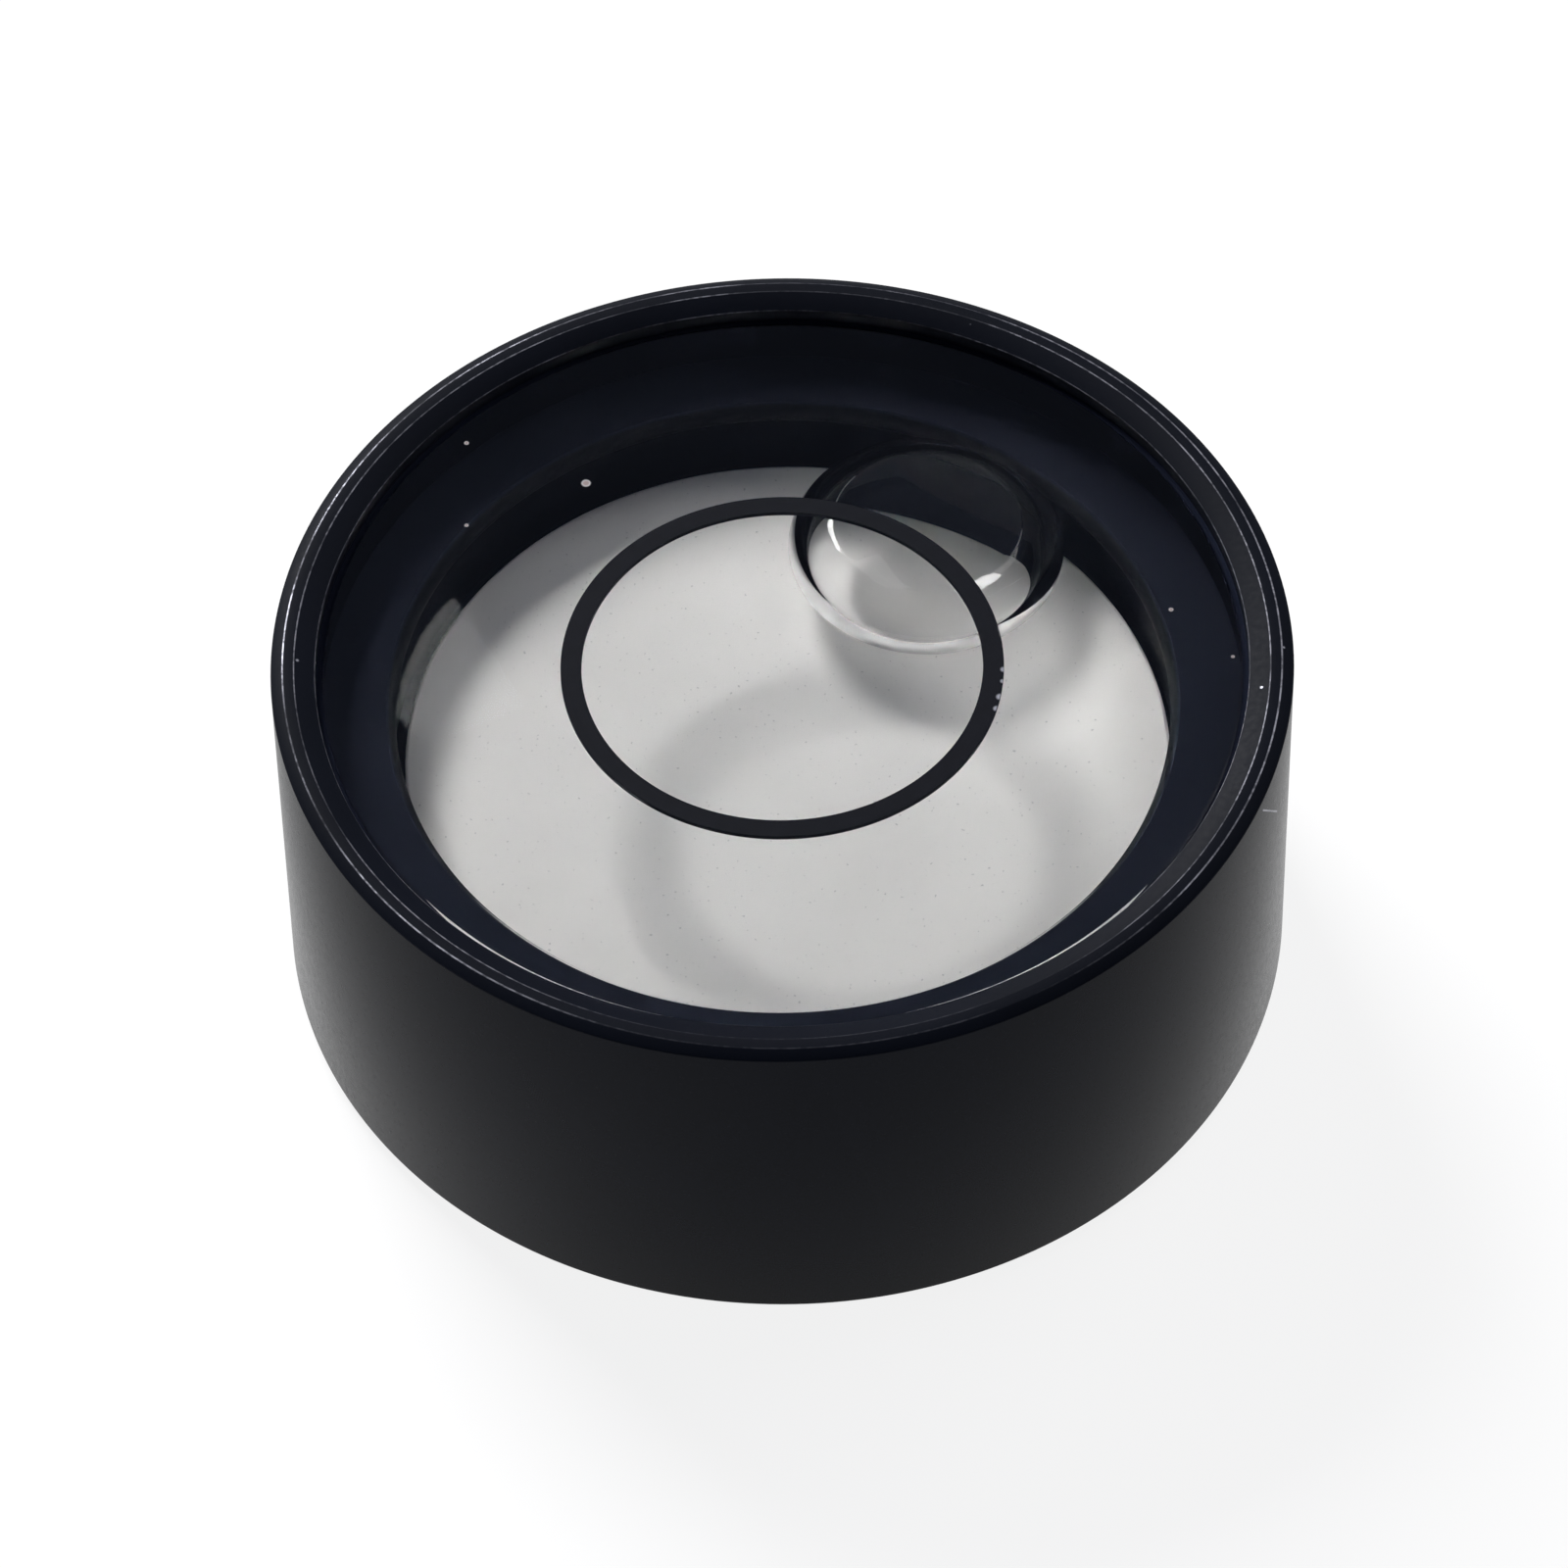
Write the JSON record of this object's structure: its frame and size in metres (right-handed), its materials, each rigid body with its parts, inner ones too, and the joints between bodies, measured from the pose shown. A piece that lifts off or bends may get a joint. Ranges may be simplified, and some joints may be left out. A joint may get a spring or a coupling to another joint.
{
  "type": "bullseye level",
  "caption": "Round bullseye level: black turned case, clear lens with a target ring, spirit with an air bubble over a white disc.",
  "frame": {"origin": "centre of the flat foot of the case", "axes": "+Z along the axis of the case, from the foot towards the lens; +X to the right of the view in which the bubble lies at the back right"},
  "size_m": [0.017, 0.017, 0.007],
  "materials": {
    "anodised_aluminium": "black anodised, satin",
    "clear_acrylic": "polished clear acrylic",
    "black_paint": "black paint filled into a groove",
    "nitrile_rubber": "matt black rubber",
    "sealing_adhesive": "cured adhesive, smooth",
    "white_disc": "matt off-white",
    "clear_spirit": "clear liquid"
  },
  "bodies": {
    "root": {"case": "anodised_aluminium", "lens": "clear_acrylic", "target_ring": "black_paint", "lens_gasket": "nitrile_rubber", "sealing_bead": "sealing_adhesive", "backing_disc": "white_disc", "spirit": "clear_spirit"}
  },
  "joints": []
}
